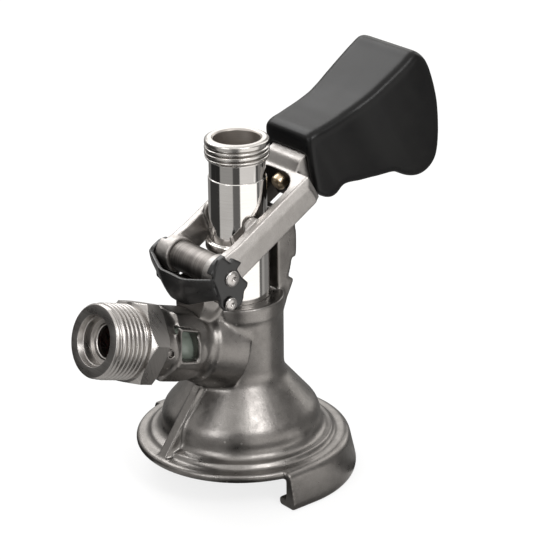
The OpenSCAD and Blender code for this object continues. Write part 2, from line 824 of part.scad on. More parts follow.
// Rounded rectangle across the grip at one station
function grip_section(s, n = 6) =
    let (w = s[3], h = s[1] - s[2], r = min(3, h / 2.2))
    [for (c = [[w - r, s[1] - r, 0], [-w + r, s[1] - r, 90], [-w + r, s[2] + r, 180], [w - r, s[2] + r, 270]])
        for (i = [0:n - 1]) let (a = c[2] + 90 * i / (n - 1))
            [s[0], c[0] + r * cos(a), c[1] + r * sin(a)]];

module grip_form() {
    ring = 24;
    count = len(grip_stations);
    points = [for (s = grip_stations) each grip_section(s)];
    faces = concat(
        [[for (k = [0:ring - 1]) k]],
        [for (i = [0:count - 2]) for (k = [0:ring - 1])
            [i * ring + k, (i + 1) * ring + k, (i + 1) * ring + (k + 1) % ring, i * ring + (k + 1) % ring]],
        [[for (k = [ring - 1:-1:0]) (count - 1) * ring + k]]
    );
    polyhedron(points, faces);
}

module grip() {
    color("#1d1d1f") lever_frame() difference() {
        grip_form();
        translate([0, -tongue_w - pass, tongue_bottom - pass])
            cube([insert_from, 2 * (tongue_w + pass), tongue_top - tongue_bottom + 2 * pass]);
        long_rod(stem_r + 1.6, insert_from - 1, insert_from + insert_len);
    }
}

// Threaded bush moulded into the grip, which holds the bolt's stem
module grip_insert() {
    color("silver") lever_frame() difference() {
        long_rod(stem_r + 1.6, insert_from, insert_from + insert_len);
        long_rod(stem_r, insert_from - 1, insert_from + insert_len + 1);
    }
}

body_casting();
gas_inlet_tail();
inlet_washer();
check_valve_liner();
liner_o_ring();
check_valve();
keg_gasket();
neck_o_rings();
lower_pin();
probe_tube();
probe_sleeve();
probe_tip();
probe_seal();
ball_retainer();
outlet_ball();
link_bracket();
upper_pin();
roller();
lever_yoke();
spring_plug();
latch_spring();
grip();
latch_bolt();
grip_insert();
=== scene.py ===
"""Looks of a keg coupler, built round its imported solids."""

import math

import bmesh
import bpy
import numpy as np
from mathutils import Matrix, Vector


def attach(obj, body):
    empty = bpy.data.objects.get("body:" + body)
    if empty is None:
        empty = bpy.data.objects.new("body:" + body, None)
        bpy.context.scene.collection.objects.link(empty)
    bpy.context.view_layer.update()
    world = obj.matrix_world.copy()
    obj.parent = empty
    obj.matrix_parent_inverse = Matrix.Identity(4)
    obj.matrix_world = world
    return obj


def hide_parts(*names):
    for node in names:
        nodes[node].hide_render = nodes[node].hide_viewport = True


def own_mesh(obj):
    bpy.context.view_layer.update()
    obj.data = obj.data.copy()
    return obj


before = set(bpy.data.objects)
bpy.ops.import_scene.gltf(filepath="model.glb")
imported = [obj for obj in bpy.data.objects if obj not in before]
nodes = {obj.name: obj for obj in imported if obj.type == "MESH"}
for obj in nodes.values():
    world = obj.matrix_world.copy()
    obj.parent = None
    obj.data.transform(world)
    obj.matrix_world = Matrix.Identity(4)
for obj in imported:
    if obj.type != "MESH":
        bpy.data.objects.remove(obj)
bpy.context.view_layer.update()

MM = 0.001
scene = bpy.context.scene
coarse = 1.0

# The part's main lines, in mm and in its own frame
INLET_TILT = math.radians(17.9)
INLET_AXIS = Vector((-math.cos(INLET_TILT), 0, math.sin(INLET_TILT)))
INLET_Z = 46.7
LEVER_TILT = math.radians(30)
LEVER_AXIS = Vector((math.cos(LEVER_TILT), 0, math.sin(LEVER_TILT)))
LEVER_ACROSS = Vector((-math.sin(LEVER_TILT), 0, math.cos(LEVER_TILT)))
PIN = Vector((-17.9, 0, 83.5))
LOW_PIN = Vector((-19, 0, 74.6))


# Materials

# Runs of pointiness that count as an edge: rounded, sharp, and in a concave corner, where colour is darkened
# as painted shade
ROUND_EDGE, SHARP_EDGE, SHADED_HOLLOW = (0.505, 0.56), (0.56, 0.63), (0.495, 0.44)


class Nodes:
    """A node tree under construction, with short calls for its nodes."""

    def __init__(self, tree):
        self.tree = tree
        tree.nodes.clear()

    def add(self, kind, **inputs):
        """A node with its inputs set, by name or by _number."""
        node = self.tree.nodes.new("ShaderNode" + kind)
        for name, value in inputs.items():
            key = int(name[1:]) if name[0] == "_" else name.replace("_", " ")
            self.feed(node.inputs[key], value)
        return node

    def feed(self, socket, value):
        """Links another node's output, or sets a constant."""
        if isinstance(value, bpy.types.NodeSocket):
            self.tree.links.new(value, socket)
        else:
            socket.default_value = value

    def math(self, operation, a, b=0.0):
        node = self.add("Math", _0=a, _1=b)
        node.operation = operation
        return node.outputs[0]

    def weigh(self, a, b, share):
        """Sum of two values, with a's share given."""
        return self.math("ADD", self.math("MULTIPLY", a, share), self.math("MULTIPLY", b, 1 - share))

    def span(self, value, low, high, start=0.0, end=1.0):
        """value's run from start to end, spread over low to high."""
        return self.add("MapRange", _0=value, _1=start, _2=end, _3=low, _4=high).outputs[0]

    def ramp(self, value, stops):
        node = self.add("ValToRGB", Fac=value)
        points = node.color_ramp.elements
        while len(points) < len(stops):
            points.new(0.5)
        for point, (position, colour) in zip(points, stops):
            point.position = position
            point.color = (*colour, 1)
        return node.outputs[0]

    def mix(self, share, a, b):
        """Blend of two colours."""
        node = self.add("Mix")
        node.data_type = "RGBA"
        for index, value in ((0, share), (6, a), (7, b)):
            self.feed(node.inputs[index], (*value, 1) if isinstance(value, tuple) else value)
        return node.outputs[2]

    def either(self, share, a, b):
        """Blend of two shaders."""
        return self.add("MixShader", _0=share, _1=a, _2=b).outputs[0]

    def azimuth(self, split):
        """Azimuth of a split vector, from 0 to 1 over the full turn."""
        angle = self.math("ARCTAN2", split.outputs[1], split.outputs[0])
        return self.span(angle, 0.0, 1.0, -math.pi, math.pi)


class Finish(Nodes):
    """A material under construction."""

    def __init__(self, name):
        self.material = bpy.data.materials.new(name)
        self.material.use_nodes = True
        super().__init__(self.material.node_tree)
        self.out = self.add("OutputMaterial")
        self.place = self.add("TexCoord").outputs["Object"]

    def noise(self, scale, detail, rough=0.55, stretch=None, turn=(0, 0, 0)):
        """Noise over the object's own coordinates, in cells per metre."""
        place = self.place
        if stretch:
            place = self.add("Mapping", Vector=place, Rotation=turn).outputs[0]
            scaled = self.add("VectorMath", _0=place, _1=stretch)
            scaled.operation = "MULTIPLY"
            place = scaled.outputs[0]
        return self.add("TexNoise", Vector=place, Scale=scale, Detail=detail, Roughness=rough).outputs[0]

    def edge(self, run, strength):
        """How far a point lies on an edge, from 0 to the strength."""
        point = self.add("NewGeometry").outputs["Pointiness"]
        return self.math("MULTIPLY", self.span(point, 0.0, 1.0, *run), strength)

    def bump(self, height, distance, **under):
        return self.add("Bump", Height=height, Distance=distance, Strength=1.0, **under).outputs[0]

    def surface(self, **inputs):
        shader = self.add("BsdfPrincipled", **inputs)
        self.tree.links.new(shader.outputs[0], self.out.inputs[0])
        return self.material


def scaled(colour, factor, lift=0.0):
    return tuple(factor * c + lift for c in colour)


def cast_metal(name, dark, light, rough, grain, depth, worn):
    """Blasted or tumbled casting: fine grain, cloudy tone, brighter worn edges, and concave corners darkened
    as painted shade.
    """
    f = Finish(name)
    speck = f.noise(grain, 3, 0.7)
    tone = f.ramp(f.weigh(f.noise(90, 5, 0.6), speck, 0.65), [(0.32, dark), (0.68, light)])
    tone = f.mix(f.edge(SHARP_EDGE, 0.75), tone, worn)
    # Concave corners darkened: painted shade
    tone = f.mix(f.edge(SHADED_HOLLOW, 0.7), tone, scaled(dark, 0.35))
    gloss = f.span(f.noise(320, 4, 0.6), rough - 0.06, rough + 0.08, 0.3, 0.7)
    grained = f.bump(speck, depth)
    return f.surface(Base_Color=tone, Metallic=1.0, Roughness=gloss,
                     Normal=f.bump(f.noise(420, 3), depth * 1.5, Normal=grained))


def turned_metal(name, dark, light, rough, axis, depth, pitch=5200, turn=(0, 0, 0)):
    """Lathe-turned or ground metal: fine rings across the given axis and faint stains."""
    f = Finish(name)
    stretch = tuple(1.0 if k == axis else 0.012 for k in range(3))
    rings = f.noise(pitch, 2, 0.5, stretch, turn)
    broad = f.noise(pitch * 0.12, 3, 0.6, stretch, turn)
    stain = f.noise(70, 4, 0.6)
    tone = f.ramp(f.weigh(rings, stain, 0.5), [(0.3, dark), (0.7, light)])
    # Concave corners darkened: painted shade
    tone = f.mix(f.edge(SHADED_HOLLOW, 0.6), tone, scaled(dark, 0.3))
    gloss = f.span(f.weigh(broad, stain, 0.5), rough * 0.75, rough * 1.35, 0.3, 0.7)
    return f.surface(Base_Color=tone, Metallic=1.0, Roughness=gloss, Normal=f.bump(rings, depth))


def moulding(name, dark, light, rough, grain, depth, sheen=0.5):
    """Moulded plastic or rubber with a fine pebble and rubbed edges."""
    f = Finish(name)
    cloud = f.noise(60, 5, 0.6)
    pebble = f.noise(grain, 2, 0.5)
    tone = f.ramp(cloud, [(0.3, dark), (0.7, light)])
    tone = f.mix(f.edge(ROUND_EDGE, 0.3), tone, scaled(light, 2.2, 0.01))
    gloss = f.span(f.weigh(cloud, pebble, 0.7), rough - 0.05, rough + 0.07, 0.3, 0.7)
    return f.surface(Base_Color=tone, Roughness=gloss, Specular_IOR_Level=sheen,
                     Normal=f.bump(pebble, depth))


# Each finish: name, darker and lighter tone, roughness, then grain, depth and the like
finishes = {
    "cast_steel": cast_metal("blasted_casting", (0.15, 0.141, 0.134), (0.27, 0.257, 0.245), 0.32,
                             2600, 0.00003, (0.55, 0.53, 0.51)),
    # Much darker copy of the casting for the lever's pocket: painted shade
    "pocket_shade_steel": cast_metal("pocket_shade_casting", (0.035, 0.031, 0.028), (0.07, 0.063, 0.058), 0.5,
                               2400, 0.00006, (0.3, 0.28, 0.27)),
    "lever_steel": cast_metal("satin_casting", (0.32, 0.303, 0.29), (0.45, 0.43, 0.415), 0.4,
                              2400, 0.00006, (0.72, 0.7, 0.68)),
    "turned_steel": turned_metal("turned_steel", (0.5, 0.48, 0.465), (0.66, 0.64, 0.62), 0.2,
                                 2, 0.000004),
    "inlet_steel": turned_metal("inlet_steel", (0.36, 0.342, 0.33), (0.54, 0.52, 0.5), 0.29,
                                0, 0.000006, turn=(0, INLET_TILT, 0)),
    "pin_steel": turned_metal("pin_steel", (0.42, 0.4, 0.39), (0.58, 0.56, 0.54), 0.28, 1, 0.000004),
    "polished_steel": turned_metal("polished_steel", (0.66, 0.64, 0.62), (0.78, 0.76, 0.74), 0.075,
                                   2, 0.0000012, 7000),
    "thread_steel": turned_metal("thread_steel", (0.46, 0.44, 0.42), (0.64, 0.62, 0.6), 0.25,
                                 2, 0.000004),
    "bored_steel": turned_metal("bored_steel", (0.34, 0.31, 0.29), (0.48, 0.45, 0.42), 0.36,
                                2, 0.000006),
    "dark_steel": turned_metal("brushed_dark_steel", (0.07, 0.064, 0.06), (0.3, 0.28, 0.265), 0.38,
                               1, 0.00001, 2400),
    "brass_bolt": turned_metal("turned_brass", (0.62, 0.48, 0.32), (0.82, 0.68, 0.5), 0.36,
                               0, 0.000004, turn=(0, LEVER_TILT, 0)),
    "spring_steel": turned_metal("spring_steel", (0.4, 0.39, 0.38), (0.55, 0.54, 0.53), 0.25,
                                 0, 0.000002),
    "black_moulding": moulding("black_moulding", (0.003, 0.003, 0.0034), (0.006, 0.0058, 0.0056), 0.33,
                               1900, 0.000012, 0.2),
    "link_moulding": moulding("link_moulding", (0.006, 0.006, 0.0064), (0.012, 0.0117, 0.0115), 0.3,
                              1500, 0.000006),
    "black_rubber": moulding("black_rubber", (0.012, 0.012, 0.012), (0.022, 0.022, 0.022), 0.6,
                             2400, 0.00002),
    "red_rubber": moulding("red_rubber", (0.2, 0.035, 0.02), (0.3, 0.06, 0.035), 0.5, 2400, 0.00001),
    "white_plastic": moulding("white_plastic", (0.56, 0.6, 0.54), (0.7, 0.74, 0.66), 0.35,
                              1200, 0.000008),
    "green_plastic": moulding("green_plastic", (0.05, 0.06, 0.052), (0.12, 0.14, 0.12), 0.16,
                              500, 0.000004),
}

# Solids that show as they are
NODE_FINISH = {
    "inlet_washer": "black_rubber", "check_valve_liner": "green_plastic",
    "liner_o_ring": "black_rubber", "check_valve": "red_rubber", "keg_gasket": "black_rubber",
    "neck_o_rings": "black_rubber", "probe_tip": "turned_steel", "probe_seal": "black_rubber",
    "ball_retainer": "turned_steel", "outlet_ball": "white_plastic", "spring_plug": "turned_steel",
    "grip_insert": "turned_steel",
}


def dress(obj, finish):
    obj.data.materials.clear()
    obj.data.materials.append(finishes[finish])


def piece(obj, body, slot, finish, *replaced):
    """Gives a finished mesh its body, material and the solids it stands for; the slot argument is not used.
    """
    dress(obj, finish)
    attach(obj, body)
    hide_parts(*replaced)
    return obj


def paint(obj, finish, inside):
    """Gives one more finish to the faces that lie inside."""
    obj.data.materials.append(finishes[finish])
    last_slot = len(obj.data.materials) - 1
    for face in obj.data.polygons:
        if inside(face):
            face.material_index = last_slot


# Meshes


def placed(name, mesh):
    obj = bpy.data.objects.new(name, mesh)
    scene.collection.objects.link(obj)
    return obj


def reshape(mesh, *changes):
    """Runs each change on the mesh as an editable copy."""
    work = bmesh.new()
    work.from_mesh(mesh)
    for change in changes:
        change(work)
    work.to_mesh(mesh)
    work.free()


def coordinates(mesh):
    co = np.empty(len(mesh.vertices) * 3)
    mesh.vertices.foreach_get("co", co)
    return co.reshape(-1, 3)


def normals(mesh):
    found = np.empty(len(mesh.vertices) * 3, np.float32)
    mesh.vertex_normals.foreach_get("vector", found)
    return found.reshape(-1, 3).astype(float)


def ring_solid(work, rings):
    """Closed solid through rings of points in mm, added to a mesh under construction."""
    rows = [[work.verts.new(Vector(p) * MM) for p in ring] for ring in rings]
    count = len(rows[0])
    faces = [work.faces.new(rows[0]), work.faces.new(rows[-1][::-1])]
    for a, b in zip(rows, rows[1:]):
        for k in range(count):
            after = (k + 1) % count
            faces.append(work.faces.new((a[k], b[k], b[after], a[after])))
    bmesh.ops.recalc_face_normals(work, faces=faces)


def plate(work, outline, y0, y1, place=Matrix()):
    """Outline of (x, z) in mm, thickened from y0 to y1."""
    ring_solid(work, [[place @ Vector((x, y, z)) for x, z in outline] for y in (y0, y1)])


def weld(work):
    bmesh.ops.remove_doubles(work, verts=work.verts, dist=1e-6)


def outward(work):
    bmesh.ops.recalc_face_normals(work, faces=work.faces)


def even_mesh(source, voxel, extra):
    """The solids' surface on an even grid of small faces, with extra solids fused on."""
    mesh = source.data.copy() if source else bpy.data.meshes.new("even")
    reshape(mesh, weld, *extra)
    obj = placed("even", mesh)
    grid = obj.modifiers.new("grid", "REMESH")
    grid.mode = "VOXEL"
    grid.voxel_size = voxel
    grid.adaptivity = 0.0
    bpy.context.view_layer.update()
    graph = bpy.context.evaluated_depsgraph_get()
    even = bpy.data.meshes.new_from_object(obj.evaluated_get(graph))
    bpy.data.objects.remove(obj)
    return even


FILL_REFRESH = 6
FILL_BACK = 0.06


def ease(mesh, rounds, fillets=0, keep=None):
    """Rounds edges by moving each point towards its neighbours; fillets then fills concave corners only."""
    count = len(mesh.vertices)
    pairs = np.empty(len(mesh.edges) * 2, np.int64)
    mesh.edges.foreach_get("vertices", pairs)
    a, b = pairs[::2], pairs[1::2]
    links = (np.bincount(a, minlength=count) + np.bincount(b, minlength=count))[:, None]
    co = coordinates(mesh)
    free = np.ones(count) if keep is None else keep(co)
    out = None
    for turn in range(rounds + fillets):
        total = np.stack([
            np.bincount(a, co[b, k], count) + np.bincount(b, co[a, k], count) for k in range(3)
        ], axis=1)
        step = total / links - co
        share = free.copy()
        if turn >= rounds:
            if (turn - rounds) % FILL_REFRESH == 0:
                mesh.vertices.foreach_set("co", co.ravel())
                mesh.update()
                out = normals(mesh)
            share *= np.where((step * out).sum(1) > 0, 1.0, FILL_BACK)
        co += 0.5 * share[:, None] * step
    mesh.vertices.foreach_set("co", co.ravel())
    mesh.shade_smooth()
    mesh.update()


def cast_copy(name, node, voxel, rounds, fillets=0, keep=None, extra=(), shape=None):
    """A node's solid, or extra solids alone, with the soft edges of a casting; voxel in mm."""
    mesh = even_mesh(nodes[node] if node else None, voxel * coarse * MM, extra)
    if shape:
        mesh.vertices.foreach_set("co", shape(coordinates(mesh)).ravel())
    mesh.name = name
    ease(mesh, rounds, fillets, keep)
    return placed(name, mesh)


CREASE = math.radians(34)


def revolve(name, rows, segments, matrix=None, radius=None):
    """Closed ring of rows (radius, height) in mm round the local Z axis, placed by matrix.
    radius(row index, angles, radius, height) may vary a row's radius with the angle."""
    angles = np.arange(segments) * 2 * math.pi / segments
    points = []
    for i, (r, z) in enumerate(rows):
        rr = radius(i, angles, r, z) if radius else np.full(segments, float(r))
        points.append(np.stack([rr * np.cos(angles), rr * np.sin(angles), np.full(segments, float(z))], 1))
    co = np.concatenate(points) * MM
    count = len(rows)
    row, column = np.meshgrid(np.arange(count), np.arange(segments), indexing="ij")
    next_row, next_column = (row + 1) % count, (column + 1) % segments
    corners = ((row, column), (row, next_column), (next_row, next_column), (next_row, column))
    faces = np.stack([i * segments + k for i, k in corners], -1).reshape(-1, 4)
    mesh = bpy.data.meshes.new(name)
    mesh.from_pydata(co.tolist(), [], faces.tolist())
    mesh.validate()
    if matrix is not None:
        mesh.transform(matrix)
    reshape(mesh, outward)
    mesh.shade_smooth()
    mesh.set_sharp_from_angle(angle=CREASE)
    return placed(name, mesh)


def soft_rows(points, steps=5):
    """Closed outline of (radius, height, corner radius), with its corners rounded."""
    out = []
    for i, (r, z, c) in enumerate(points):
        if c <= 0:
            out.append((r, z))
            continue
        corner = Vector((r, z))
        before = Vector(points[i - 1][:2]) - corner
        after = Vector(points[(i + 1) % len(points)][:2]) - corner
        u, v = before.normalized(), after.normalized()
        half = u.angle(v) / 2
        reach = min(c / math.tan(half), 0.48 * before.length, 0.48 * after.length)
        centre = corner + (u + v).normalized() * reach * math.tan(half) / math.sin(half)
        start, end = corner + u * reach - centre, corner + v * reach - centre
        sweep = math.pi - 2 * half
        for k in range(steps + 1):
            t = k / steps
            if sweep > 2e-4:
                spoke = (start * math.sin((1 - t) * sweep) + end * math.sin(t * sweep)) / math.sin(sweep)
            else:
                spoke = start.lerp(end, t)
            out.append(tuple(centre + spoke))
    return out


PITCH = 1.814
GROOVE = 0.95
ROW_STEP = 0.11


def thread_rows(crest, z0, z1):
    """Rows of an outside thread from z0 to z1, at the crest's radius."""
    count = int((z1 - z0) / ROW_STEP)
    return [(crest, z0 + (z1 - z0) * k / count) for k in range(count + 1)]


def thread_cut(first, last, z0, z1, run_in, run_out, narrow):
    """Cuts a helical groove into the rows from first to last."""

    def radius(i, angles, r, z):
        if not first <= i <= last:
            return np.full(len(angles), float(r))
        phase = ((z - z0) / PITCH - angles / (2 * math.pi)) % 1.0
        cut = (0.5 - 0.5 * np.cos(2 * math.pi * phase)) ** narrow
        full = max(0.0, min(1.0, (z - z0) / run_in, (z1 - z) / run_out))
        return r - GROOVE * (cut * full + 0.9 * (1 - full))

    return radius


def axis_matrix(origin, direction):
    """Places local Z along direction from origin, both in mm."""
    turn = Vector((0, 0, 1)).rotation_difference(Vector(direction)).to_matrix().to_4x4()
    return Matrix.Translation(Vector(origin) * MM) @ turn


# Body

inlet = axis_matrix((0, 0, INLET_Z), INLET_AXIS)
inlet_mm = Matrix.Translation((0, 0, INLET_Z)) @ inlet.to_3x3().to_4x4()

# The bored way in the neck stays crisp
BORED_R, BORED_FROM, BORED_EASE = 14.2, 25, 0.15
# Waist of the boss: greatest radius about the inlet's axis at each distance along it
WAIST = [(19.5, 15.4), (21.5, 12.9), (23, 11.9), (24.4, 12.1), (26.5, 12.75), (29, 13.2), (31.5, 13.7)]
# What stands further out than this over the waist belongs to the neck or the lug
WAIST_REACH, WAIST_FADE = 4.6, 1.8
# Window in the side of the boss, as (height over the axis, distance along it), and its lip
WINDOW = [(8.2, 39.6), (7.8, 31.2), (-2.3, 29.2), (-2.6, 36.2)]
LIP_OUT, LIP_ALONG, LIP_FOOT, LIP_TOP = 1.2, 1.22, 10.6, 12.9
# Ring mark on the boss, as (height over the axis, side, distance along it)
MARK = (-0.2, -12.5, 42.0)


def body_keep(co):
    bored = (np.hypot(co[:, 0], co[:, 1]) < BORED_R * MM) & (co[:, 2] > BORED_FROM * MM)
    return np.where(bored, BORED_EASE, 1.0)


def boss_waist(co):
    """Turns the inner end of the boss's flats down to a waist."""
    spot = (co - np.array((0, 0, INLET_Z)) * MM) / MM
    along = spot @ np.array(INLET_AXIS)
    across = spot - along[:, None] * np.array(INLET_AXIS)
    radius = np.linalg.norm(across, axis=1)
    over = radius - np.interp(along, [a for a, r in WAIST], [r for a, r in WAIST])
    held = (along > WAIST[0][0]) & (along < WAIST[-1][0]) & (over > 0)
    share = np.where(held, np.clip((WAIST_REACH - over) / WAIST_FADE, 0, 1), 0)
    return co - across / radius[:, None] * (over * share)[:, None] * MM


def window_lip(work):
    """Raised lip round the window on either side of the boss."""
    middle = (sum(h for h, a in WINDOW) / 4, sum(a for h, a in WINDOW) / 4)
    outer = [(middle[0] + LIP_OUT * (h - middle[0]), middle[1] + LIP_ALONG * (a - middle[1]))
             for h, a in WINDOW]
    for side in (-1, 1):
        for k in range(4):
            after = (k + 1) % 4
            outline = [WINDOW[k], WINDOW[after], outer[after], outer[k]]
            plate(work, outline, side * LIP_FOOT, side * LIP_TOP, inlet_mm)


body = cast_copy("body_shell", "body_casting", 0.4, 5, 26, body_keep, [window_lip], boss_waist)
piece(body, "coupler_body", "cast_steel", "cast_steel", "body_casting")

mark_rows = soft_rows([(1.25, -0.8, 0.05), (1.25, 0.2, 0.12), (1.75, 0.2, 0.12), (1.75, -0.8, 0.05)])
mark = revolve("core_mark", mark_rows, 48, axis_matrix(inlet_mm @ Vector(MARK), (0, -1, 0)))
piece(mark, "coupler_body", "cast_steel", "cast_steel")

# Inlet: the hexagon is a piece of its own, since its outline isn't round

HEX_FRONT, HEX_LEN, HEX_AF = 52.3, 7.3, 27.6
HEX_TURN = math.radians(12)
HEX_BORE, HEX_BEYOND = 9.3, 40
CONE_FROM, CONE_SLOPE, CONE_DEPTH, CONE_STEPS = 0.35, 1.73, 2.4, 14
TAIL_R, TAIL_TIP, TAIL_BORE, SPIGOT_R = 13.22, 66.5, 5.6, 9.4
hex_back = HEX_FRONT - HEX_LEN


def hexagon(i, angles, r, z):
    """A hexagon's outline, cut by a cone at both of its ends."""
    inscribed = HEX_AF / 2
    if r < inscribed - 1:
        return np.full(len(angles), float(r))
    flat = inscribed / np.cos((angles - HEX_TURN + math.pi / 6) % (math.pi / 3) - math.pi / 6)
    edge = max(0.0, min(z - hex_back + CONE_FROM, HEX_FRONT - z))
    return np.minimum(flat, min(inscribed + CONE_SLOPE * edge, r))


cone_steps = [0.05 + CONE_DEPTH * k / CONE_STEPS for k in range(CONE_STEPS + 1)]
hex_rows = [(HEX_BORE, hex_back), (HEX_AF / 2, hex_back)]
hex_rows += [(HEX_BEYOND, hex_back + s) for s in cone_steps]
hex_rows += [(HEX_BEYOND, HEX_FRONT - s) for s in reversed(cone_steps)]
hex_rows += [(HEX_AF / 2, HEX_FRONT), (HEX_BORE, HEX_FRONT)]
hexagon_piece = revolve("inlet_hexagon", hex_rows, 360, inlet, hexagon)
piece(hexagon_piece, "coupler_body", "turned_steel", "inlet_steel")

thread_from, thread_to = HEX_FRONT + 0.2, TAIL_TIP - 1.6
tail_rows = [(TAIL_BORE, hex_back - 4.2), (SPIGOT_R, hex_back - 4.2), (SPIGOT_R, HEX_FRONT - 0.5),
             (TAIL_R - 1.1, HEX_FRONT - 0.5)]
first = len(tail_rows)
tail_rows += thread_rows(TAIL_R, thread_from, thread_to)
last = len(tail_rows) - 1
tail_rows += soft_rows([
    (TAIL_R - 0.3, TAIL_TIP - 0.7, 0), (TAIL_R - 0.7, TAIL_TIP, 0.5), (9.0, TAIL_TIP, 0.12),
    (8.45, TAIL_TIP - 1.9, 0.1), (8.1, TAIL_TIP - 2, 0.1), (7.9, TAIL_TIP - 5, 0.2),
    (6.4, TAIL_TIP - 5.1, 0.1), (6.1, TAIL_TIP - 6, 0.1), (5.8, TAIL_TIP - 6.2, 0.1),
    (TAIL_BORE, TAIL_TIP - 8, 0.2)])
tail_thread = thread_cut(first, last, thread_from, thread_to, 1.2, 0.9, 2.0)
tail = revolve("inlet_tail", tail_rows, 192, inlet, tail_thread)
piece(tail, "coupler_body", "turned_steel", "inlet_steel", "gas_inlet_tail")


def domed_rows(r, head, reach):
    """Pin with a domed, centre-marked head at each end, as (radius, height) along its axis."""
    half = [(0.01, reach + 0.26), (0.35, reach + 0.34), (0.62, reach + 0.62)]
    half += [(head * math.cos(a), reach + 0.35 + 0.33 * head * math.sin(a))
             for a in (math.radians(d) for d in (68, 55, 42, 30, 18, 8, 0))]
    half += [(head, reach + 0.05), (head - 0.1, reach), (r, reach)]
    return half + [(a, -b) for a, b in reversed(half)]


low = revolve("lower_pivot_pin", domed_rows(1.75, 2.45, 19.3), 64, axis_matrix(LOW_PIN, (0, 1, 0)))
piece(low, "coupler_body", "turned_steel", "pin_steel", "lower_pin")

# Probe

RIM, THREAD_R, TUBE_R, COLLAR_R, SLEEVE_R, SOCKET_R = 126, 11.45, 10.3, 11.6, 11, 8.6
COLLAR_FOOT, SOCKET_FOOT = 85.4, 73.4
OUTLET_R, OUTLET_FOOT = 8.75, 100
thread_start, thread_end = RIM - 1.5 - 3 * PITCH - 0.9, RIM - 2.2
tube_rows = [(4.2, SOCKET_FOOT), (SOCKET_R, SOCKET_FOOT), (SOCKET_R, COLLAR_FOOT)]
tube_rows += soft_rows([
    (SOCKET_R, COLLAR_FOOT, 0), (COLLAR_R, COLLAR_FOOT, 0.5), (COLLAR_R, 88.6, 0.5), (TUBE_R, 88.6, 0.25),
    (TUBE_R, 111.6, 0.15), (TUBE_R - 0.35, 112, 0.15)])[1:]
tube_rows += [(TUBE_R - 0.35, thread_start - 0.1)]
first = len(tube_rows)
tube_rows += thread_rows(THREAD_R, thread_start, thread_end)
last = len(tube_rows) - 1
tube_rows += soft_rows([
    (THREAD_R - 0.8, RIM - 2.15, 0), (THREAD_R - 0.05, RIM - 1.9, 0.2), (THREAD_R - 0.1, RIM - 0.5, 0.7),
    (THREAD_R - 1.2, RIM, 0.7), (8.9, RIM, 0.3), (8.3, RIM - 0.6, 0.25), (8.3, RIM - 11, 0.1),
    (7.2, RIM - 11, 0.1), (7.2, RIM - 12.4, 0), (6.0, RIM - 12.4, 0)])
tube_rows += [(6.0, 104.2), (4.2, 101.7)]
tube_thread = thread_cut(first, last, thread_start, thread_end, 1.3, 0.7, 3.0)
tube = revolve("outlet_tube", tube_rows, 256, None, tube_thread)
piece(tube, "probe", "turned_steel", "polished_steel", "probe_tube")


def in_outlet(face):
    inside = math.hypot(face.center.x, face.center.y) < OUTLET_R * MM
    return inside and face.center.z > OUTLET_FOOT * MM


def on_thread(face):
    return face.center.z > (thread_start - 0.3) * MM and not in_outlet(face)


paint(tube, "bored_steel", in_outlet)
paint(tube, "thread_steel", on_thread)

sleeve_rows = soft_rows([
    (SOCKET_R, 22.5, 0.1), (SLEEVE_R, 22.5, 0.3), (SLEEVE_R, COLLAR_FOOT, 0.1), (SOCKET_R, COLLAR_FOOT, 0.1),
    (SOCKET_R, SOCKET_FOOT, 0.1), (4.2, SOCKET_FOOT, 0.1), (4.2, 30.5, 0.1), (SOCKET_R, 30.5, 0.1)])
sleeve = revolve("polished_sleeve", sleeve_rows, 256)
piece(sleeve, "probe", "turned_steel", "polished_steel", "probe_sleeve")

# Link, roller and lever

# Ears seen from the side, about the upper pin, and the hood round the front of the lever's eye
NEAR_TOP = [(-7.6, 1.6), (-6.6, 5.2), (-5.2, 8.2), (-3.4, 8.7), (-1.6, 7.2), (-0.8, 6.1), (0.2, 6.2),
            (1.0, 7.1), (4.7, 4.7), (2.6, 2.8)]
FAR_TOP = [(-7.8, 1.2), (-6.4, 2.6), (-3.2, 4.3), (-0.4, 4.6), (2.6, 2.8)]
EAR = [(4.6, -0.6), (7.3, -3.4), (7.0, -4.8), (5.5, -6.4), (5.3, -8.5), (4.4, -10.8),
       (2.4, -11.5), (-3.0, -11.5), (-4.9, -9.2), (-4.9, -6.6)]
HOOD = [(r * math.cos(math.radians(a)), r * math.sin(math.radians(a)))
        for r, turns in ((8.5, range(100, 165, 12)), (6.8, range(160, 90, -12))) for a in turns]
# Each plate's outline, and the sides that it runs between
EAR_PLATES = [(NEAR_TOP + EAR, -16.9, -18.7), (FAR_TOP + EAR, 16.9, 18.7), (HOOD, -14.6, -17.4)]
# Strap from the middle outwards: half width, front and height of its top, then of its bottom
STRAP = [(0, -30.6, 83.0, 0, -27.0, 71.2), (5.6, -30.5, 82.9, 4.2, -26.9, 71.5),
         (7.4, -30.1, 83.0, 5.8, -26.6, 72.0), (12.2, -28.2, 83.8, 10.5, -25.2, 73.9),
         (18.4, -25.6, 85.0, 17.8, -22.8, 76.5)]
WALL, BULGE, STRAP_STEPS = 1.5, 0.8, 7


def strap_ring(side, station):
    """Outline across the strap at one station: down its bulging front, then up its back."""
    y0, x0, z0, y1, x1, z1 = station
    front = []
    for k in range(STRAP_STEPS + 1):
        t = k / STRAP_STEPS
        x = x0 + (x1 - x0) * t - BULGE * 4 * t * (1 - t)
        front.append((x, side * (y0 + (y1 - y0) * t), z0 + (z1 - z0) * t))
    slant = min(y0, 8) / 8
    back = [(x + WALL * (1 - 0.08 * slant), y - side * 0.4 * WALL * slant, z) for x, y, z in front[::-1]]
    return front + back


def link_solids(work):
    for outline, inner, outer in EAR_PLATES:
        plate(work, [(x + PIN.x, z + PIN.z) for x, z in outline], inner, outer)
    stations = [(-1, s) for s in STRAP[:0:-1]] + [(1, s) for s in STRAP]
    ring_solid(work, [strap_ring(side, s) for side, s in stations])


